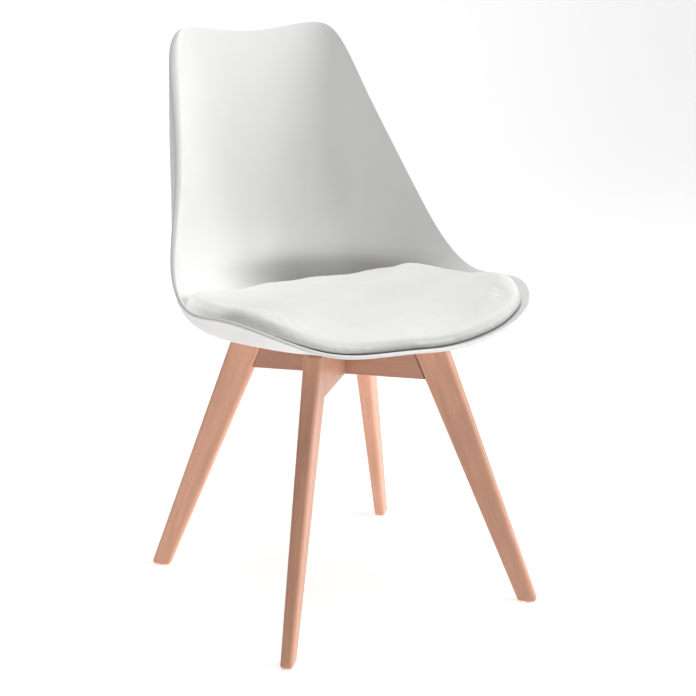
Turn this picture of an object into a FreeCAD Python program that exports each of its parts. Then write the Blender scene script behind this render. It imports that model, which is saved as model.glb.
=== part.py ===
import FreeCAD, Part
import math
import os
import re

# Dining chair: a moulded tub seat on a crossed beech base of four raked legs.
# The chair faces -Y, +X is the sitter's left and +Z is up. The origin is on the
# floor, under the middle of the chair's outline.

V = FreeCAD.Vector
doc = FreeCAD.newDocument("dining_chair")
os.makedirs("parts", exist_ok=True)

# ---------------------------------------------------------------- sizes (mm)
sizes = doc.addObject("Spreadsheet::Sheet", "Sizes")
SIZES = [
    # tub seat
    ("shell_width", 482),        # between the side rims
    ("shell_depth", 494),        # front rim to the top of the back
    ("shell_setback", -4.71),     # shell's middle, behind the origin
    ("floor_height", 402),       # inside floor of the tub
    ("back_rise", 417),          # tub floor to the shoulders of the back
    ("wall", 4.5),
    # seat pad
    ("pad_gap", 0.2),            # between the pad and the tub
    ("pad_crown", 52),           # pad thickness in the middle
    ("pad_lip", 13),             # height of the rounded edge over its widest line
    ("cover_thick", 1.4),
    ("board_size", 190),
    ("board_corner", 62),
    ("board_thick", 6),
    ("board_lift", 7.6),         # board over the tub floor
    ("pad_screw_reach", 62),     # sideways from the seat's middle
    ("pad_screw_spread", 18),
    ("pad_screw_radius", 2.0),
    ("pad_screw_head", 4.5),
    ("pad_screw_head_height", 2.5),
    ("pad_screw_flat", 6),       # underside of its boss, under the tub floor
    ("pad_screw_length", 17.5),
    ("pad_screw_boss", 8),
    # base
    ("base_setback", -20.71),    # base's middle, behind the origin
    ("bar_bottom", 335),
    ("bar_top", 390),
    ("leg_top", 398),            # legs stand up past the bars
    ("bar_thick", 23),
    ("knee_inner", 129.5),       # inner face of a leg at the bars' underside
    ("knee_width", 48.5),
    ("knee_thick", 25.8),
    ("foot_reach", 288),         # middle of a foot from the middle of the base
    ("foot_width", 29),
    ("foot_thick", 17.5),
    ("leg_round", 5.5),
    ("foot_round", 5),
    ("dowel_radius", 4),
    ("dowel_length", 36),
    ("dowel_low", 348),
    ("dowel_high", 376),
    ("bar_round", 1.5),
    ("glide_thick", 1.2),
    ("glide_radius", 4.5),
    ("glide_stem", 2.5),
    ("glide_stem_length", 12),
    # fixings between the base and the tub
    ("bolt_reach", 90),
    ("bolt_radius", 3),
    ("bolt_play", 0.25),         # clearance all round in the holes
    ("bolt_head", 5.5),
    ("bolt_head_height", 4),
    ("bolt_socket", 2),
    ("bolt_socket_depth", 2.2),
    ("sink_radius", 9),
    ("sink_depth", 12),
    ("washer_radius", 8),
    ("washer_thick", 1.6),
    ("spacer_radius", 11),
    ("spacer_thick", 3),
    ("boss_radius", 11),
    ("boss_end", 0.3),            # bosses stop this far under the tub floor
    ("insert_radius", 4.5),
    ("insert_length", 7),
    ("lock_screw_radius", 2.25),
    ("lock_screw_head", 4.25),
    ("lock_screw_head_height", 2.6),
    ("lock_screw_length", 40),
]
for row, (name, value) in enumerate(SIZES, start=1):
    sizes.set("A%d" % row, name)
    sizes.set("B%d" % row, str(value))
    sizes.setAlias("B%d" % row, name)
doc.recompute()


def size(name):
    return float(getattr(sizes, name))


def bind(obj, **formulas):
    """Tie properties to the sheet. `Placement__Base__x` names a nested property."""
    for prop, formula in formulas.items():
        named = re.sub(r"[a-z][a-z_]+", lambda word: "Sizes." + word.group(), str(formula))
        obj.setExpression(prop.replace("__", "."), named)

# ------------------------------------------------------------ freeform rings
# Half of each ring, from the middle of the front round to the middle of the back:
# shares of half the width, of the depth and of the back's rise.
RIM = [
    (0.000, 0.002, 0.053),   # front edge
    (0.515, 0.016, 0.072),
    (0.805, 0.079, 0.125),   # front corner
    (0.983, 0.245, 0.161),
    (1.000, 0.466, 0.141),   # low point of the side
    (0.942, 0.605, 0.235),
    (0.784, 0.713, 0.489),   # wing
    (0.651, 0.842, 0.767),
    (0.556, 0.941, 0.964),   # shoulder
    (0.452, 0.982, 1.000),
    (0.000, 1.003, 0.976),   # dip in the top edge
]
PAN = [
    (0.000, 0.128, 0.019),
    (0.353, 0.148, 0.031),
    (0.560, 0.219, 0.028),
    (0.685, 0.330, 0.022),
    (0.755, 0.472, 0.020),
    (0.739, 0.601, 0.017),
    (0.676, 0.725, 0.017),
    (0.564, 0.838, 0.014),
    (0.411, 0.901, 0.012),
    (0.207, 0.947, 0.012),
    (0.000, 0.955, 0.012),
]
PAN_MIDDLE = 0.488
# The wall between the pan and the rim: how far up each ring stands, as a share of
# the way, and how far it swells outwards there, in mm.
LOW_WALL = (0.40, [1, 2, 6, 12, 19, 26, 32, 32, 26, 18, 15])
HIGH_WALL = (0.78, [0, 0, 0.5, 2, 5, 9.5, 15.5, 21, 19.5, 11, 5])
# What the wall gains in thickness towards its rounded edge, in mm.
EDGE_EXTRA = [0.5, 0.5, 0.5, 0.5, 1, 2.5, 5, 7, 7.5, 6.5, 5]
# Where the pad ends on each line from the middle to the rim, and how high its
# widest line stands over the tub there, in mm.
PAD_EDGE = [
    (0.940, 8), (0.940, 8), (0.935, 8), (0.890, 8), (0.800, 8), (0.625, 8),
    (0.425, 9), (0.312, 9), (0.279, 9), (0.266, 9), (0.261, 9),
]


def mirrored(half):
    """Close a half ring: the other half is its mirror image, walked back."""
    other = [V(-p.x, p.y, p.z) for p in half[-2:0:-1]]
    return half + other


def both_sides(half):
    return half + half[-2:0:-1]


def station(shares):
    across, along, up = shares
    return V(
        across * size("shell_width") / 2,
        size("shell_setback") + (along - 0.5) * size("shell_depth"),
        size("floor_height") + up * size("back_rise"),
    )


def unit(v):
    return v * (1.0 / v.Length)


rim = mirrored([station(s) for s in RIM])
pan = mirrored([station(s) for s in PAN])
middle = station((0, PAN_MIDDLE, 0))
COUNT = len(rim)



def wall_ring(share, swells):
    ring = []
    for r, p, swell in zip(rim, pan, both_sides(swells)):
        outwards = unit(V(p.x - middle.x, p.y - middle.y, 0))
        ring.append(p + (r - p) * share + outwards * swell)
    return ring


low_wall = wall_ring(*LOW_WALL)
high_wall = wall_ring(*HIGH_WALL)
inner_ring = []
for p in pan:
    floor_point = middle + (p - middle) * 0.55
    inner_ring.append(V(floor_point.x, floor_point.y, middle.z))

# Even spacing of the stations by the root of their distance keeps the rim smooth.
around = [0.0]
for k in range(COUNT):
    step = (rim[(k + 1) % COUNT] - rim[k]).Length
    around.append(around[-1] + math.sqrt(step))


def ring_curve(points, spacing):
    curve = Part.BSplineCurve()
    curve.interpolate(Points=points, PeriodicFlag=True, Parameters=spacing)
    return curve


def skin(columns, spacing, knots, mults):
    """A surface from closed rings of control points; a single point closes it off."""
    guide = ring_curve([c for c in columns if isinstance(c, list)][0], spacing)
    count = len(guide.getPoles())
    poles = []
    for c in columns:
        if isinstance(c, list):
            poles.append(ring_curve(c, spacing).getPoles())
        else:
            poles.append([c] * count)
    grid = [[ring[k] for ring in poles] for k in range(count)]
    surface = Part.BSplineSurface()
    surface.buildFromPolesMultsKnots(
        grid, guide.getMultiplicities(), mults, guide.getKnots(), knots, True, False, 3, 3)
    return surface


def outward_row(inside, here, outside, distance):
    """The row `here`, moved square to the sheet, away from the sitter."""
    moved = []
    for k in range(COUNT):
        along = here[(k + 1) % COUNT] - here[k - 1]
        across = outside[k] - inside[k]
        moved.append(here[k] + unit(along.cross(across)) * distance[k])
    return moved


wall = size("wall")
rings = [[middle] * COUNT, inner_ring, pan, low_wall, high_wall, rim]
rings.append([r + (r - w) for r, w in zip(rim, high_wall)])
edge = [wall + extra for extra in both_sides(EDGE_EXTRA)]
outer_rings = [outward_row(rings[k - 1], rings[k], rings[k + 1], [wall] * COUNT)
               for k in range(1, 5)]
outer_rim = outward_row(rings[4], rings[5], rings[6], edge)
forward = [unit(r - w) for r, w in zip(rim, high_wall)]
set_back = [1.3 * extra for extra in both_sides(EDGE_EXTRA)]
outer_rim = [r - f * s for r, f, s in zip(outer_rim, forward, set_back)]
outer_rings.append(outer_rim)
outer_middle = middle - V(0, 0, wall)

DISH_KNOTS = [0.0, 0.4, 0.72, 1.0]
DISH_MULTS = [4, 1, 1, 4]
inside_skin = skin([middle] + rings[1:6], around, DISH_KNOTS, DISH_MULTS)
outside_skin = skin([outer_middle] + outer_rings, around, DISH_KNOTS, DISH_MULTS)
lip_in = [r + f * wall * 0.66 for r, f in zip(rim, forward)]
lip_out = [r + f * (wall * 0.66 + s * 0.6) for r, f, s in zip(outer_rim, forward, set_back)]
lip_skin = skin([rim, lip_in, lip_out, outer_rim], around, [0.0, 1.0], [4, 4])


def closed_solid(surfaces):
    shell = Part.Shell([s.toShape() for s in surfaces])
    if len(surfaces) > 1:
        shell.sewShape()
    solid = Part.Solid(shell)
    if solid.Volume < 0:
        solid.reverse()
    return solid


tub = closed_solid([inside_skin, outside_skin, lip_skin])

# ------------------------------------------------------------------- seat pad
UNDER = [0.2, 0.4, 0.6, 0.8, 0.94]      # shares of the way from middle to edge
OVER = [0.85, 0.66, 0.44, 0.22]
LINES = 2 * COUNT


def pad_solid(inset):
    """The pad, or the pad less a skin of this thickness."""
    lift = size("pad_gap") + inset
    lip = size("pad_lip")
    top_middle = middle + V(0, 0, size("pad_crown") - inset)
    edges = both_sides(PAD_EDGE)
    lines = []
    for k in range(LINES):
        here = edges[k // 2]
        beyond = edges[(k // 2 + k % 2) % COUNT]
        share = (here[0] + beyond[0]) / 2
        height = (here[1] + beyond[1]) / 2
        turn = (around[k // 2] + around[k // 2 + k % 2]) / 2
        foot = inside_skin.value(turn, share)
        out = unit(V(foot.x - middle.x, foot.y - middle.y, 0))
        line = []
        for u in UNDER:
            normal = inside_skin.normal(turn, share * u)
            if normal.z < 0:
                normal = normal * -1
            line.append(inside_skin.value(turn, share * u) + normal * lift)
        widest = foot + V(0, 0, height) + out * (3 - inset)
        line.append(foot + V(0, 0, height * 0.5) + out * (1.5 - inset))
        line.append(widest)
        line.append(widest + V(0, 0, lip * 0.66 - inset * 0.6) - out * lip * 0.3)
        shoulder = widest + V(0, 0, lip - inset) - out * lip * 1.1
        line.append(shoulder)
        for f in OVER:
            level = top_middle + V(shoulder.x - middle.x, shoulder.y - middle.y, 0) * f
            level.z = shoulder.z + (top_middle.z - shoulder.z) * (1 - f ** 2.2)
            line.append(level)
        lines.append([middle + V(0, 0, lift)] + line + [top_middle])
    return ring_solid(lines)


def ring_solid(lines):
    """A closed body through lines that all run from its lower to its upper middle."""
    points = len(lines[0])
    spans = [0.0]
    for i in range(1, points):
        steps = [math.sqrt((one[i] - one[i - 1]).Length) for one in lines]
        spans.append(spans[-1] + sum(steps) / len(steps))
    rings = []
    for one in lines:
        curve = Part.BSplineCurve()
        curve.interpolate(Points=one, PeriodicFlag=False, Parameters=spans)
        rings.append(curve.getPoles())
    columns = [list(c) for c in zip(*rings)]
    columns[0] = columns[0][0]
    columns[-1] = columns[-1][0]
    spacing = [float(k) for k in range(len(lines) + 1)]
    return closed_solid([skin(columns, spacing, curve.getKnots(), curve.getMultiplicities())])


pad_outside = pad_solid(0.0)
pad_inside = pad_solid(size("cover_thick"))


# ---------------------------------------------------------------- small tools
def freeform(label, shape):
    obj = doc.addObject("Part::Feature", label)
    obj.Shape = shape
    obj.Placement = FreeCAD.Placement()
    return obj


def cylinder(label, radius, height, x="0", y="0", z="0", lying=False):
    """A round bar standing on its base point, or lying along +X from it."""
    obj = doc.addObject("Part::Cylinder", label)
    if lying:
        obj.Placement.Rotation = FreeCAD.Rotation(V(0, 1, 0), 90)
    bind(obj, Radius=radius, Height=height,
         Placement__Base__x=x, Placement__Base__y=y, Placement__Base__z=z)
    return obj


def joined(label, parts):
    obj = doc.addObject("Part::MultiFuse", label)
    obj.Shapes = parts
    return obj


def cut(label, base, tools):
    tool = tools[0]
    if len(tools) > 1:
        tool = doc.addObject("Part::Compound", label + "_tools")
        tool.Links = tools
    obj = doc.addObject("Part::Cut", label)
    obj.Base = base
    obj.Tool = tool
    return obj


def group(label, parts):
    obj = doc.addObject("Part::Compound", label)
    obj.Links = parts
    return obj


def on_base(obj, angle):
    """Turn a piece made along +X to its own diagonal of the base."""
    obj.Placement = FreeCAD.Placement(V(0, 0, 0), FreeCAD.Rotation(V(0, 0, 1), angle))
    bind(obj, Placement__Base__y="base_setback")
    return obj


DIAGONALS = {
    "rear_left": 45,
    "rear_right": 135,
    "front_right": 225,
    "front_left": 315,
}
SEAT_Y = "shell_setback + (%g) * shell_depth" % (PAN_MIDDLE - 0.5)
SCREW_SPOTS = [
    ("pad_screw_reach", SEAT_Y + " + pad_screw_spread"),
    ("-pad_screw_reach", SEAT_Y + " + pad_screw_spread"),
    ("-pad_screw_reach", SEAT_Y + " - pad_screw_spread"),
    ("pad_screw_reach", SEAT_Y + " - pad_screw_spread"),
]


def pad_screw_shank(label, spot):
    return cylinder(label, "pad_screw_radius", "pad_screw_length",
                    x=spot[0], y=spot[1], z="floor_height - pad_screw_flat")


def bolt_shank(label, radius, angle):
    low = "bar_bottom + sink_depth - washer_thick"
    top = "bar_top + spacer_thick + insert_length"
    return on_base_tool(label, radius, "(" + top + ") - (" + low + ")", low, angle)


def on_base_tool(label, radius, height, low, angle):
    """An upright cylinder at the bolt circle, on one diagonal."""
    side = math.cos(math.radians(angle))
    back = math.sin(math.radians(angle))
    return cylinder(label, radius, height, z=low,
                    x="bolt_reach * (%.9f)" % side,
                    y="base_setback + bolt_reach * (%.9f)" % back)


# ------------------------------------------------------------------- the seat
tub_blank = freeform("tub_blank", tub)
bosses = []
sockets = []
for name, angle in DIAGONALS.items():
    seat = "bar_top + spacer_thick"
    bosses.append(on_base_tool("boss_" + name, "boss_radius",
                               "floor_height - boss_end - (" + seat + ")", seat, angle))
    sockets.append(on_base_tool("socket_" + name, "insert_radius", "insert_length",
                                seat, angle))
for k, spot in enumerate(SCREW_SPOTS, start=1):
    bosses.append(cylinder("pad_boss_%d" % k, "pad_screw_boss",
                           "pad_screw_flat - boss_end", x=spot[0], y=spot[1],
                           z="floor_height - pad_screw_flat"))
    sockets.append(pad_screw_shank("pad_screw_way_%d" % k, spot))
seat_shell = cut("seat_shell", joined("tub_with_bosses", [tub_blank] + bosses), sockets)

board_body = doc.addObject("PartDesign::Body", "board_body")
plate = board_body.newObject("PartDesign::AdditiveBox", "plate")
bind(plate, Length="board_size", Width="board_size", Height="board_thick",
     Placement__Base__x="-board_size / 2",
     Placement__Base__y=SEAT_Y + " - board_size / 2",
     Placement__Base__z="floor_height + board_lift")
doc.recompute()


def edges_where(feature, test):
    """Names of the edges whose two ends pass the test."""
    found = []
    for k, edge in enumerate(feature.Shape.Edges, start=1):
        first, last = edge.Vertexes[0].Point, edge.Vertexes[-1].Point
        if test(first, last):
            found.append("Edge%d" % k)
    return found


def rounded(body, feature, label, radius, test):
    fillet = body.newObject("PartDesign::Fillet", label)
    fillet.Base = (feature, edges_where(feature, test))
    bind(fillet, Radius=radius)
    return fillet


rounded(board_body, plate, "plate_corners", "board_corner",
        lambda a, b: abs(a.z - b.z) > 1)
pad_ways = [pad_screw_shank("board_way_%d" % k, spot)
            for k, spot in enumerate(SCREW_SPOTS, start=1)]
pad_board = cut("pad_board", board_body, pad_ways)

foam_ways = [pad_screw_shank("foam_way_%d" % k, spot)
             for k, spot in enumerate(SCREW_SPOTS, start=1)]
board_space = doc.addObject("PartDesign::Body", "board_space")
space = board_space.newObject("PartDesign::AdditiveBox", "space")
bind(space, Length="board_size", Width="board_size", Height="board_thick",
     Placement__Base__x="-board_size / 2",
     Placement__Base__y=SEAT_Y + " - board_size / 2",
     Placement__Base__z="floor_height + board_lift")
doc.recompute()
rounded(board_space, space, "space_corners", "board_corner",
        lambda a, b: abs(a.z - b.z) > 1)
foam_blank = freeform("foam_blank", pad_inside)
pad_foam = cut("pad_foam", foam_blank, [board_space] + foam_ways)
cover_blank = freeform("cover_blank", pad_outside.cut(pad_inside))
cover_ways = [pad_screw_shank("cover_way_%d" % k, spot)
              for k, spot in enumerate(SCREW_SPOTS, start=1)]
pad_cover = cut("pad_cover", cover_blank, cover_ways)

pad_screw_list = []
for k, spot in enumerate(SCREW_SPOTS, start=1):
    head = cylinder("pad_screw_head_%d" % k, "pad_screw_head", "pad_screw_head_height",
                    x=spot[0], y=spot[1],
                    z="floor_height - pad_screw_flat - pad_screw_head_height")
    shank = pad_screw_shank("pad_screw_shank_%d" % k, spot)
    drive = cylinder("pad_screw_drive_%d" % k, "pad_screw_radius", "bolt_socket_depth - 1",
                     x=spot[0], y=spot[1],
                     z="floor_height - pad_screw_flat - pad_screw_head_height")
    whole = joined("pad_screw_whole_%d" % k, [head, shank])
    pad_screw_list.append(cut("pad_screw_%d" % k, whole, [drive]))
pad_screws = group("pad_screws", pad_screw_list)

# ------------------------------------------------------------------- the base
LEAN = "((foot_reach - foot_width / 2 - knee_inner) / (bar_bottom - glide_thick))"
INNER_TOP = "(knee_inner - " + LEAN + " * (bar_top - bar_bottom))"
OUTER_LEAN = "((foot_reach + foot_width / 2 - knee_inner - knee_width)"
OUTER_LEAN += " / (bar_bottom - glide_thick))"
LEG_TOP_INNER = "(knee_inner - " + LEAN + " * (leg_top - bar_bottom))"
LEG_TOP_OUTER = "(knee_inner + knee_width - " + OUTER_LEAN + " * (leg_top - bar_bottom))"
UPRIGHT = FreeCAD.Rotation(V(1, 0, 0), 90)


def joint_reach(level):
    """Where the bar meets the leg at this height, from the middle of the base."""
    return "(knee_inner - " + LEAN + " * (" + level + " - bar_bottom))"


def dowel_way(body, label, level, to_left=False):
    """A lying hole for a dowel, centred on the joint between bar and leg."""
    way = body.newObject("PartDesign::SubtractiveCylinder", label)
    start = joint_reach(level) + " - dowel_length / 2"
    turn = 90
    if to_left:
        start = "-(" + start + ")"
        turn = -90
    way.Placement.Rotation = FreeCAD.Rotation(V(0, 1, 0), turn)
    bind(way, Radius="dowel_radius", Height="dowel_length",
         Placement__Base__x=start, Placement__Base__z=level)
    return way


def bore(body, label, radius, height, x, z):
    way = body.newObject("PartDesign::SubtractiveCylinder", label)
    bind(way, Radius=radius, Height=height, Placement__Base__x=x, Placement__Base__z=z)
    return way


def leg(name, angle):
    body = doc.addObject("PartDesign::Body", "leg_" + name)
    blank = body.newObject("PartDesign::AdditiveWedge", "blank_" + name)
    blank.Placement.Rotation = UPRIGHT
    bind(blank,
         Xmin="foot_reach - foot_width / 2", Xmax="foot_reach + foot_width / 2",
         Zmin="-foot_thick / 2", Zmax="foot_thick / 2",
         Ymin="glide_thick", Ymax="leg_top",
         X2min=LEG_TOP_INNER, X2max=LEG_TOP_OUTER,
         Z2min="-knee_thick / 2", Z2max="knee_thick / 2")
    doc.recompute()
    sides = rounded(body, blank, "leg_sides_" + name, "leg_round",
                    lambda a, b: abs(a.z - b.z) > 100)
    doc.recompute()
    foot = size("glide_thick") + 0.01
    rounded(body, sides, "leg_foot_" + name, "foot_round",
            lambda a, b: a.z < foot and b.z < foot)
    dowel_way(body, "leg_low_" + name, "dowel_low")
    dowel_way(body, "leg_high_" + name, "dowel_high")
    bore(body, "stem_way_" + name, "glide_stem", "glide_stem_length",
         "foot_reach", "glide_thick")
    return on_base(body, angle)


legs = [leg(name, angle) for name, angle in DIAGONALS.items()]


def cross_bar(label, angle, notch_low):
    """One bar of the cross; the two share a halved joint in the middle."""
    body = doc.addObject("PartDesign::Body", label)
    blank = body.newObject("PartDesign::AdditiveWedge", label + "_blank")
    blank.Placement.Rotation = UPRIGHT
    bind(blank, Xmin="-knee_inner", Xmax="knee_inner",
         Zmin="-bar_thick / 2", Zmax="bar_thick / 2",
         Ymin="bar_bottom", Ymax="bar_top",
         X2min="-" + INNER_TOP, X2max=INNER_TOP,
         Z2min="-bar_thick / 2", Z2max="bar_thick / 2")
    doc.recompute()
    rounded(body, blank, label + "_edges", "bar_round",
            lambda a, b: abs(a.x - b.x) > 100 and abs(a.z - b.z) < 1)
    notch = body.newObject("PartDesign::SubtractiveBox", label + "_notch")
    bind(notch, Length="bar_thick", Width="bar_thick + 2", Height="(bar_top - bar_bottom) / 2",
         Placement__Base__x="-bar_thick / 2", Placement__Base__y="-bar_thick / 2 - 1",
         Placement__Base__z=notch_low)
    for side, sign in (("left", "-"), ("right", "")):
        reach = sign + "bolt_reach"
        bore(body, label + "_hole_" + side, "bolt_radius + bolt_play", "bar_top - bar_bottom",
             reach, "bar_bottom")
        bore(body, label + "_sink_" + side, "sink_radius", "sink_depth",
             reach, "bar_bottom")
        for level in ("dowel_low", "dowel_high"):
            dowel_way(body, label + "_" + level + "_" + side, level, side == "left")
    bore(body, label + "_lock_way", "lock_screw_radius", "lock_screw_length",
         "0", "bar_bottom")
    return on_base(body, angle)


lower_bar = cross_bar("lower_bar", 45, "(bar_top + bar_bottom) / 2")
upper_bar = cross_bar("upper_bar", 135, "bar_bottom")
doc.recompute()

lock_head = doc.addObject("Part::Cone", "lock_head")
bind(lock_head, Radius1="lock_screw_head", Radius2="lock_screw_radius",
     Height="lock_screw_head_height", Placement__Base__y="base_setback",
     Placement__Base__z="bar_bottom")
lock_sink = doc.addObject("Part::Cone", "lock_sink")
bind(lock_sink, Radius1="lock_screw_head", Radius2="lock_screw_radius",
     Height="lock_screw_head_height", Placement__Base__y="base_setback",
     Placement__Base__z="bar_bottom")
bar_under = cut("cross_bar_lower", lower_bar, [lock_sink])
lock_shank = cylinder("lock_shank", "lock_screw_radius", "lock_screw_length",
                      y="base_setback", z="bar_bottom")
lock_drive = cylinder("lock_drive", "lock_screw_radius - 0.4", "1.5",
                      y="base_setback", z="bar_bottom")
lock_screw = cut("lock_screw", joined("lock_whole", [lock_head, lock_shank]), [lock_drive])

# --------------------------------------------------------- fixings, in groups
dowels = []
bolts = []
washers = []
spacers = []
inserts = []
glides = []
for name, angle in DIAGONALS.items():
    for level in ("dowel_low", "dowel_high"):
        pin = cylinder(level + "_" + name, "dowel_radius", "dowel_length",
                       x=joint_reach(level) + " - dowel_length / 2", z=level, lying=True)
        dowels.append(on_base(group("pin_" + level + "_" + name, [pin]), angle))
    under = "bar_bottom + sink_depth"
    head_low = under + " - washer_thick - bolt_head_height"
    head = on_base_tool("head_" + name, "bolt_head", "bolt_head_height", head_low, angle)
    shank = bolt_shank("shank_" + name, "bolt_radius", angle)
    key = doc.addObject("Part::Prism", "key_" + name)
    key.Polygon = 6
    bind(key, Circumradius="bolt_socket", Height="bolt_socket_depth",
         Placement__Base__x="bolt_reach * (%.9f)" % math.cos(math.radians(angle)),
         Placement__Base__y="base_setback + bolt_reach * (%.9f)" % math.sin(math.radians(angle)),
         Placement__Base__z=head_low)
    bolts.append(cut("bolt_" + name, joined("bolt_whole_" + name, [head, shank]), [key]))

    disc = on_base_tool("disc_" + name, "washer_radius", "washer_thick",
                        under + " - washer_thick", angle)
    hole = on_base_tool("washer_hole_" + name, "bolt_radius + bolt_play", "washer_thick",
                        under + " - washer_thick", angle)
    washers.append(cut("washer_" + name, disc, [hole]))

    ring = on_base_tool("ring_" + name, "spacer_radius", "spacer_thick", "bar_top", angle)
    gap = on_base_tool("spacer_hole_" + name, "bolt_radius + bolt_play", "spacer_thick",
                       "bar_top", angle)
    spacers.append(cut("spacer_" + name, ring, [gap]))

    nut = on_base_tool("nut_" + name, "insert_radius", "insert_length",
                       "bar_top + spacer_thick", angle)
    thread = on_base_tool("thread_" + name, "bolt_radius", "insert_length",
                          "bar_top + spacer_thick", angle)
    inserts.append(cut("insert_" + name, nut, [thread]))

    pad = cylinder("glide_disc_" + name, "glide_radius", "glide_thick", x="foot_reach")
    stem = cylinder("glide_stem_" + name, "glide_stem", "glide_stem_length",
                    x="foot_reach", z="glide_thick")
    glides.append(on_base(joined("glide_" + name, [pad, stem]), angle))

knee_dowels = group("knee_dowels", dowels)
mounting_bolts = group("mounting_bolts", bolts)
bolt_washers = group("bolt_washers", washers)
seat_spacers = group("seat_spacers", spacers)
thread_inserts = group("thread_inserts", inserts)

# --------------------------------------------------------------------- export
PIECES = [seat_shell, pad_board, pad_foam, pad_cover, pad_screws, bar_under, upper_bar,
          lock_screw, knee_dowels, mounting_bolts, bolt_washers, seat_spacers,
          thread_inserts] + legs + glides
upper_bar.Label = "cross_bar_upper"
doc.recompute()
for obj in doc.Objects:
    if "Invalid" in obj.State or "Error" in obj.State:
        raise RuntimeError("%s: %s" % (obj.Label, obj.State))
for piece in PIECES:
    shape = piece.Shape
    if shape.isNull() or not shape.isValid():
        raise RuntimeError(piece.Label + " has no valid shape")
    shape.exportStep("parts/%s.step" % piece.Label)
    print("%-18s %2d solid(s) %12.1f mm3" % (piece.Label, len(shape.Solids), shape.Volume))
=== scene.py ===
import math

import bmesh
import bpy
from mathutils import Matrix, Vector


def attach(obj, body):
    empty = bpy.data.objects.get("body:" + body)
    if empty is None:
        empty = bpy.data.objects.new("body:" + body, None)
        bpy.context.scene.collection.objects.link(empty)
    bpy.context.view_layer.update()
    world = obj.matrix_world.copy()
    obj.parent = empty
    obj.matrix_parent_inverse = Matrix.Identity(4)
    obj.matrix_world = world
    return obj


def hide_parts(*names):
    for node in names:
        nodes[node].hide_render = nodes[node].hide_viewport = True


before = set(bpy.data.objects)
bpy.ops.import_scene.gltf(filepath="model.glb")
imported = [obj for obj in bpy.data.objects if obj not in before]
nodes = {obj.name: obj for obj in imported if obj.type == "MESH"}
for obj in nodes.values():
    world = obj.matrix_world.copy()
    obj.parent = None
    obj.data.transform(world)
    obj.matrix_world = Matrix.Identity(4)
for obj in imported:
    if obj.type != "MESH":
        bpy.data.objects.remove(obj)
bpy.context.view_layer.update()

scene = bpy.context.scene


# ---------------------------------------------------------------- materials
def material(name, color, roughness, **sockets):
    mat = bpy.data.materials.new(name)
    mat.use_nodes = True
    tree = mat.node_tree
    shader = tree.nodes["Principled BSDF"]
    shader.inputs["Base Color"].default_value = (*color, 1)
    shader.inputs["Roughness"].default_value = roughness
    for key, value in sockets.items():
        shader.inputs[key.replace("_", " ")].default_value = value
    return mat, tree, shader


def node(tree, kind, **settings):
    made = tree.nodes.new(kind)
    for key, value in settings.items():
        if key in made.inputs:
            made.inputs[key].default_value = value
        else:
            setattr(made, key, value)
    return made


def coordinates(tree, turn=(0, 0, 0)):
    """Object coordinates, turned, as a socket."""
    source = node(tree, "ShaderNodeTexCoord")
    mapping = node(tree, "ShaderNodeMapping")
    mapping.inputs["Rotation"].default_value = turn
    tree.links.new(source.outputs["Object"], mapping.inputs["Vector"])
    return mapping.outputs["Vector"]


def ramp(tree, factor, *stops):
    made = node(tree, "ShaderNodeValToRGB")
    elements = made.color_ramp.elements
    while len(elements) < len(stops):
        elements.new(0.5)
    for element, (place, color) in zip(elements, stops):
        element.position = place
        element.color = (*color, 1)
    tree.links.new(factor, made.inputs["Fac"])
    return made.outputs["Color"]


def grey_ramp(tree, factor, low, high):
    """A ramp between two greys, over the middle of the factor."""
    return ramp(tree, factor, (0.3, (low,) * 3), (0.7, (high,) * 3))


def noise(tree, vector, scale, detail=4.0, roughness=0.55, distortion=0.0):
    made = node(tree, "ShaderNodeTexNoise", Scale=scale, Detail=detail,
                Roughness=roughness, Distortion=distortion)
    tree.links.new(vector, made.inputs["Vector"])
    return made.outputs["Fac"]


def bump(tree, shader, height, strength, distance, before=None):
    made = node(tree, "ShaderNodeBump", Strength=strength, Distance=distance)
    tree.links.new(height, made.inputs["Height"])
    if before is not None:
        tree.links.new(before, made.inputs["Normal"])
    tree.links.new(made.outputs["Normal"], shader.inputs["Normal"])
    return made.outputs["Normal"]


def fade(tree, value, low, high):
    """0 at low and 1 at high, smooth between; low may be the greater of the two."""
    made = node(tree, "ShaderNodeMapRange", interpolation_type="SMOOTHSTEP")
    made.inputs["From Min"].default_value = low
    made.inputs["From Max"].default_value = high
    tree.links.new(value, made.inputs["Value"])
    return made.outputs["Result"]


def axes(tree, vector):
    """The outputs X, Y and Z of a vector."""
    made = node(tree, "ShaderNodeSeparateXYZ")
    tree.links.new(vector, made.inputs["Vector"])
    return made.outputs


def facing_up(tree):
    """How far the surface faces up, from the object's own normal."""
    return axes(tree, node(tree, "ShaderNodeTexCoord").outputs["Normal"])["Z"]


def product(tree, first, *others):
    for other in others:
        times = node(tree, "ShaderNodeMath", operation="MULTIPLY")
        tree.links.new(first, times.inputs[0])
        tree.links.new(other, times.inputs[1])
        first = times.outputs[0]
    return first


def mix(tree, kind, factor, one, two):
    made = node(tree, "ShaderNodeMix", data_type="RGBA", blend_type=kind)
    for key, value in ((0, factor), (6, one), (7, two)):
        if hasattr(value, "node"):
            tree.links.new(value, made.inputs[key])
        else:
            made.inputs[key].default_value = value
    return made.outputs[2]


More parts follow.
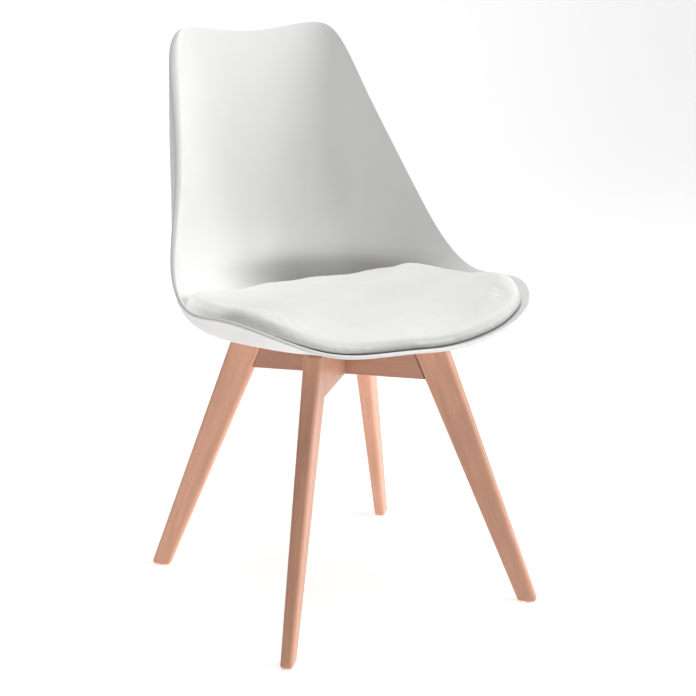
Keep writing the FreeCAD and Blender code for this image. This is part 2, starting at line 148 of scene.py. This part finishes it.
def tub_plastic():
    mat, tree, shader = material("Tub_polypropylene", (0.83, 0.83, 0.82), 0.46,
                                 IOR=1.49)
    where = coordinates(tree)
    cloudy = noise(tree, where, 9, 3)
    tint = ramp(tree, cloudy, (0.3, (0.82, 0.82, 0.81)), (0.7, (0.85, 0.85, 0.842)))
    # Painted shade: the fold behind the pad is painted darker, a soft shade deepest behind its
    # middle, on the inside where the surface faces up.
    place = axes(tree, where)
    level = fade(tree, place["Z"], 0.422, 0.508)
    shade = ramp(tree, level, (0.0, (0.25, 0.245, 0.24)), (0.22, (0.42, 0.415, 0.41)),
                 (0.45, (0.74, 0.737, 0.733)), (0.7, (0.93, 0.928, 0.926)), (1.0, (1, 1, 1)))
    strength = product(tree, fade(tree, place["Y"], 0.01, 0.13),
                       fade(tree, place["X"], -0.12, 0.06),
                       fade(tree, facing_up(tree), 0.0, 0.2))
    tint = mix(tree, "MULTIPLY", strength, tint, shade)
    tree.links.new(tint, shader.inputs["Base Color"])
    rough = grey_ramp(tree, noise(tree, where, 55, 3), 0.43, 0.5)
    tree.links.new(rough, shader.inputs["Roughness"])
    bump(tree, shader, noise(tree, where, 1400, 2), 0.10, 0.0003)
    return mat


def pad_leather():
    mat, tree, shader = material("Pad_leather", (0.84, 0.84, 0.83), 0.5, IOR=1.45)
    where = coordinates(tree)
    cells = node(tree, "ShaderNodeTexVoronoi", Scale=620.0, feature="DISTANCE_TO_EDGE")
    tree.links.new(where, cells.inputs["Vector"])
    creases = ramp(tree, cells.outputs["Distance"], (0.0, (0, 0, 0)), (0.12, (1, 1, 1)))
    grain = bump(tree, shader, creases, 0.16, 0.0003)
    soft = noise(tree, where, 160, 5)
    bump(tree, shader, soft, 0.18, 0.0008, grain)
    tint = ramp(tree, noise(tree, where, 14, 4), (0.3, (0.82, 0.82, 0.812)),
                (0.7, (0.86, 0.86, 0.85)))
    # Painted shade: the tint is made a little darker along the grain's creases.
    tint = mix(tree, "MULTIPLY", 0.06, tint, creases)
    # Painted shade: the rolled front edge is painted a little greyer than the seat, more so
    # where it faces less upward.
    place = axes(tree, where)
    painted_edge_shade = ramp(tree, fade(tree, facing_up(tree), 0.3, 0.97),
                  (0.0, (0.66, 0.66, 0.655)), (1.0, (1, 1, 1)))
    tint = mix(tree, "MULTIPLY", product(
        tree, fade(tree, place["X"], -0.16, -0.04),
        fade(tree, place["Y"], 0.06, -0.08)), tint, painted_edge_shade)
    tree.links.new(tint, shader.inputs["Base Color"])
    rough = grey_ramp(tree, noise(tree, where, 70, 3), 0.46, 0.56)
    tree.links.new(rough, shader.inputs["Roughness"])
    return mat


def beech(name, turn, shift, tone_and_painted_light=1.0):
    """Beech with its grain along the piece; turn brings the grain upright."""
    mat, tree, shader = material(name, (0.6, 0.33, 0.23), 0.42, IOR=1.46,
                                 Coat_Weight=0.12, Coat_Roughness=0.3)
    dark, mid, light = [tuple(c * tone_and_painted_light for c in shade) for shade in (
        (0.64, 0.335, 0.222), (0.73, 0.388, 0.262), (0.79, 0.438, 0.304))]
    along = coordinates(tree, turn)
    offset = node(tree, "ShaderNodeVectorMath", operation="ADD")
    offset.inputs[1].default_value = shift
    tree.links.new(along, offset.inputs[0])
    stretch = node(tree, "ShaderNodeMapping")
    stretch.inputs["Scale"].default_value = (1, 1, 0.07)
    tree.links.new(offset.outputs["Vector"], stretch.inputs["Vector"])
    fibre = stretch.outputs["Vector"]
    bands = ramp(tree, noise(tree, fibre, 60, 6, 0.6, 0.6),
                 (0.30, dark), (0.52, mid), (0.72, light))
    fine = ramp(tree, noise(tree, fibre, 520, 4, 0.6), (0.35, (0.9, 0.87, 0.85)),
                (0.65, (1, 1, 1)))
    color = mix(tree, "MULTIPLY", 0.7, bands, fine)
    flecks = node(tree, "ShaderNodeTexVoronoi", Scale=330.0)
    short = node(tree, "ShaderNodeMapping")
    short.inputs["Scale"].default_value = (1, 1, 0.22)
    tree.links.new(offset.outputs["Vector"], short.inputs["Vector"])
    tree.links.new(short.outputs["Vector"], flecks.inputs["Vector"])
    dashes = ramp(tree, flecks.outputs["Distance"], (0.10, (0.80, 0.72, 0.66)),
                  (0.2, (1, 1, 1)))
    color = mix(tree, "MULTIPLY", 0.45, color, dashes)
    tree.links.new(color, shader.inputs["Base Color"])
    rough = grey_ramp(tree, noise(tree, fibre, 200, 3), 0.38, 0.5)
    tree.links.new(rough, shader.inputs["Roughness"])
    bump(tree, shader, fine, 0.12, 0.0003)
    return mat


def metal(name, color, roughness):
    mat, tree, shader = material(name, color, roughness, Metallic=1.0)
    where = coordinates(tree)
    rough = grey_ramp(tree, noise(tree, where, 900, 3), roughness - 0.05, roughness + 0.1)
    tree.links.new(rough, shader.inputs["Roughness"])
    bump(tree, shader, noise(tree, where, 2200, 2), 0.1, 0.0002)
    return mat


def moulded(name, color, roughness):
    mat, tree, shader = material(name, color, roughness)
    where = coordinates(tree)
    darker = tuple(c * 0.88 for c in color)
    tint = ramp(tree, noise(tree, where, 120, 3), (0.3, darker), (0.7, color))
    tree.links.new(tint, shader.inputs["Base Color"])
    bump(tree, shader, noise(tree, where, 1800, 2), 0.2, 0.0002)
    return mat


def dress(name, mat):
    """Give a carried-over CAD node its finish."""
    obj = nodes[name]
    for k in range(len(obj.material_slots)):
        obj.material_slots[k].material = mat
    if not obj.material_slots:
        obj.data.materials.append(mat)


dress("seat_shell", tub_plastic())
QUARTERS = {"rear_left": 45, "rear_right": 135, "front_right": 225, "front_left": 315}
# Each plank has its own tone, and the tones also carry painted light: the rear legs are painted
# lighter than the front ones, as the light falls on them.
PLANK_TONES_AND_PAINTED_LIGHT = {"rear_left": 1.25, "rear_right": 1.3, "front_right": 1.0, "front_left": 1.0}
GRAIN_RUN = 0.1412              # how far the leg's grain leans out, about as its planks do,
GRAIN_RISE = 0.381              # over this rise
LEAN = math.atan2(GRAIN_RUN, GRAIN_RISE)
for k, (corner, angle) in enumerate(QUARTERS.items()):
    # Undo the leg's diagonal first, then the grain's lean, as one rotation.
    undo = Matrix.Rotation(-LEAN, 3, "Y").inverted() @ Matrix.Rotation(
        math.radians(-angle), 3, "Z")
    shift = (k * 0.37, k * 0.21, k * 0.9)
    dress("leg_" + corner, beech("Beech_leg_" + corner, undo.to_euler("XYZ"), shift,
                                 PLANK_TONES_AND_PAINTED_LIGHT[corner]))
# The upper bar is painted darker than the lower one (tone 0.78), a painted shade.
BARS = (("cross_bar_lower", 45, 1.0), ("cross_bar_upper", 135, 0.78))
for name, angle, tone_and_painted_light in BARS:
    undo = Matrix.Rotation(math.radians(90), 3, "Y") @ Matrix.Rotation(
        math.radians(-angle), 3, "Z")
    shift = (0.7, angle * 0.01, 0.3)
    dress(name, beech("Beech_" + name, undo.to_euler("XYZ"), shift, tone_and_painted_light))

steel = metal("Zinc_steel", (0.62, 0.62, 0.63), 0.33)
for name in ("pad_screws", "lock_screw", "mounting_bolts", "bolt_washers"):
    dress(name, steel)
dress("thread_inserts", metal("Insert_brass", (0.72, 0.53, 0.24), 0.3))
dress("seat_spacers", moulded("Spacer_rubber", (0.045, 0.045, 0.045), 0.75))
for corner in QUARTERS:
    dress("glide_" + corner, moulded("Glide_" + corner, (0.72, 0.70, 0.66), 0.5))
dress("knee_dowels", beech("Dowel_wood", (0, 0, 0), (0.2, 0.4, 0.1)))
dress("pad_board", beech("Pad_plywood", (math.radians(90), 0, 0), (0.1, 0.9, 0.5)))


# ---------------------------------------------------------------- seat pad
PAD_VOXEL = 0.0035
PAD_PUFF = 0.002                # the furthest that a point may rise
PUFF_FRAMES = 20
HELD_BELOW = 0.15               # the puff holds what faces up less than this


def outer_body(source, name, voxel):
    """The source's outside only, remeshed evenly and drawn back onto the source."""
    mesh = source.data.copy()
    obj = bpy.data.objects.new(name, mesh)
    scene.collection.objects.link(obj)
    remesh = obj.modifiers.new("even", "REMESH")
    remesh.mode = "VOXEL"
    remesh.voxel_size = voxel
    remesh.use_smooth_shade = True
    apply_modifiers(obj)
    bm = bmesh.new()
    bm.from_mesh(obj.data)
    seen = set()
    largest = []
    for start in bm.verts:
        if start in seen:
            continue
        island = [start]
        seen.add(start)
        for v in island:
            for e in v.link_edges:
                other = e.other_vert(v)
                if other not in seen:
                    seen.add(other)
                    island.append(other)
        if len(island) > len(largest):
            largest = island
    keep = set(largest)
    bmesh.ops.delete(bm, geom=[v for v in bm.verts if v not in keep], context="VERTS")
    bm.to_mesh(obj.data)
    bm.free()
    wrap = obj.modifiers.new("wrap", "SHRINKWRAP")
    wrap.wrap_method = "NEAREST_SURFACEPOINT"
    wrap.target = source
    apply_modifiers(obj)
    return obj


def apply_modifiers(obj):
    graph = bpy.context.evaluated_depsgraph_get()
    graph.update()
    mesh = bpy.data.meshes.new_from_object(obj.evaluated_get(graph))
    obj.modifiers.clear()
    obj.data = mesh


def puff(obj, cap):
    """Blow the top up a little, with the underside and the edge held against the tub."""
    start = [v.co.copy() for v in obj.data.vertices]
    held = obj.vertex_groups.new(name="held")
    held.add([v.index for v in obj.data.vertices if v.normal.z < HELD_BELOW], 1.0, "REPLACE")
    cloth = obj.modifiers.new("cloth", "CLOTH")
    settings = cloth.settings
    settings.use_pressure = True
    settings.uniform_pressure_force = 4
    settings.effector_weights.gravity = 0
    settings.vertex_group_mass = "held"
    settings.tension_stiffness = 25
    settings.compression_stiffness = 25
    settings.bending_stiffness = 1.2
    cloth.point_cache.frame_start = 1
    cloth.point_cache.frame_end = PUFF_FRAMES
    for k in range(1, PUFF_FRAMES + 1):
        scene.frame_set(k)
    graph = bpy.context.evaluated_depsgraph_get()
    moved = [v.co.copy() for v in obj.evaluated_get(graph).data.vertices]
    obj.modifiers.clear()
    obj.vertex_groups.clear()
    scene.frame_set(1)
    for v, a, b in zip(obj.data.vertices, start, moved):
        step = b - a
        if step.length > cap:
            step *= cap / step.length
        v.co = a + step


pad = outer_body(nodes["pad_cover"], "Seat_pad", PAD_VOXEL)
puff(pad, PAD_PUFF)
smooth = pad.modifiers.new("smooth", "SMOOTH")
smooth.factor = 0.5
smooth.iterations = 4
apply_modifiers(pad)
fine = pad.modifiers.new("fine", "SUBSURF")
fine.levels = 1
fine.render_levels = 1
apply_modifiers(pad)
for face in pad.data.polygons:
    face.use_smooth = True
pad.data.materials.clear()
pad.data.materials.append(pad_leather())
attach(pad, "root")
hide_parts("pad_cover", "pad_foam")


# ---------------------------------------------------------------- stage
SWEEP_FROM = 3.2                # where the floor starts to sweep up
SWEEP_RADIUS = 1.6
SWEEP_STEPS = 12
FLOOR_HALF_WIDTH = 9


def backdrop():
    """A floor that sweeps up behind the chair, bright in the middle and dimmer to the sides."""
    bm = bmesh.new()
    outline = [(-6.0, 0.0), (SWEEP_FROM, 0.0)]
    for k in range(1, SWEEP_STEPS + 1):
        a = math.radians(90) * k / SWEEP_STEPS
        outline.append((SWEEP_FROM + SWEEP_RADIUS * math.sin(a),
                        SWEEP_RADIUS - SWEEP_RADIUS * math.cos(a)))
    outline.append((4.8, 6.0))
    rows = [[bm.verts.new((x, y, z)) for y, z in outline]
            for x in (-FLOOR_HALF_WIDTH, FLOOR_HALF_WIDTH)]
    for k in range(len(outline) - 1):
        bm.faces.new((rows[0][k], rows[1][k], rows[1][k + 1], rows[0][k + 1]))
    mesh = bpy.data.meshes.new("Studio_floor")
    bm.to_mesh(mesh)
    bm.free()
    for face in mesh.polygons:
        face.use_smooth = True
    floor = bpy.data.objects.new("Studio_floor", mesh)
    scene.collection.objects.link(floor)
    floor.rotation_euler.z = math.radians(-31.2)
    mat, tree, shader = material("Studio_white", (0.65, 0.65, 0.65), 0.9)
    paper = grey_ramp(tree, noise(tree, coordinates(tree), 3, 2), 0.645, 0.655)
    tree.links.new(paper, shader.inputs["Base Color"])
    shader.inputs["Emission Color"].default_value = (1, 1, 1, 1)
    sideways = node(tree, "ShaderNodeMath", operation="ABSOLUTE")
    tree.links.new(axes(tree, coordinates(tree))["X"], sideways.inputs[0])
    dim = node(tree, "ShaderNodeMapRange", interpolation_type="SMOOTHSTEP")
    spread = (("From Min", 1.5), ("From Max", 3.2), ("To Min", 0.62), ("To Max", 0.1))
    for key, value in spread:
        dim.inputs[key].default_value = value
    tree.links.new(sideways.outputs[0], dim.inputs["Value"])
    tree.links.new(dim.outputs["Result"], shader.inputs["Emission Strength"])
    mesh.materials.append(mat)


def soft_light(name, place, target, side, watts):
    data = bpy.data.lights.new(name, "AREA")
    data.shape = "RECTANGLE"
    data.size = side
    data.size_y = side
    data.energy = watts
    light = bpy.data.objects.new(name, data)
    scene.collection.objects.link(light)
    light.location = place
    toward = Vector(target) - Vector(place)
    light.rotation_euler = toward.to_track_quat("-Z", "Y").to_euler()


backdrop()
world = bpy.data.worlds.new("Studio")
scene.world = world
world.use_nodes = True
world.node_tree.nodes["Background"].inputs["Color"].default_value = (1, 1, 1, 1)
world.node_tree.nodes["Background"].inputs["Strength"].default_value = 0.09
soft_light("Key", (2.7, -1.1, 1.3), (0, 0, 0.5), 1.4, 34)
soft_light("Front", (2.0, -2.2, 1.7), (0, 0, 0.5), 1.4, 33)
soft_light("Overhead", (0, -0.3, 2.8), (0, 0, 0.4), 2.0, 42)
soft_light("Backdrop", (-0.5, 1.6, 2.6), (-2.2, 4.4, 1.4), 2.0, 110)
scene.view_settings.view_transform = "Standard"

# ---------------------------------------------------------------- camera
TARGET = Vector((0.0147, -0.0207, 0.3684))
AZIMUTH = math.radians(-31.18)
ELEVATION = math.radians(15.73)
DISTANCE = 2.3103
LENS = 81.44
back = Vector((math.sin(AZIMUTH) * math.cos(ELEVATION),
               -math.cos(AZIMUTH) * math.cos(ELEVATION), math.sin(ELEVATION)))
camera_data = bpy.data.cameras.new("Camera")
camera_data.sensor_width = 36
camera_data.lens = LENS
camera = bpy.data.objects.new("Camera", camera_data)
scene.collection.objects.link(camera)
camera.location = TARGET + back * DISTANCE
camera.rotation_euler = back.to_track_quat("Z", "Y").to_euler()
scene.camera = camera
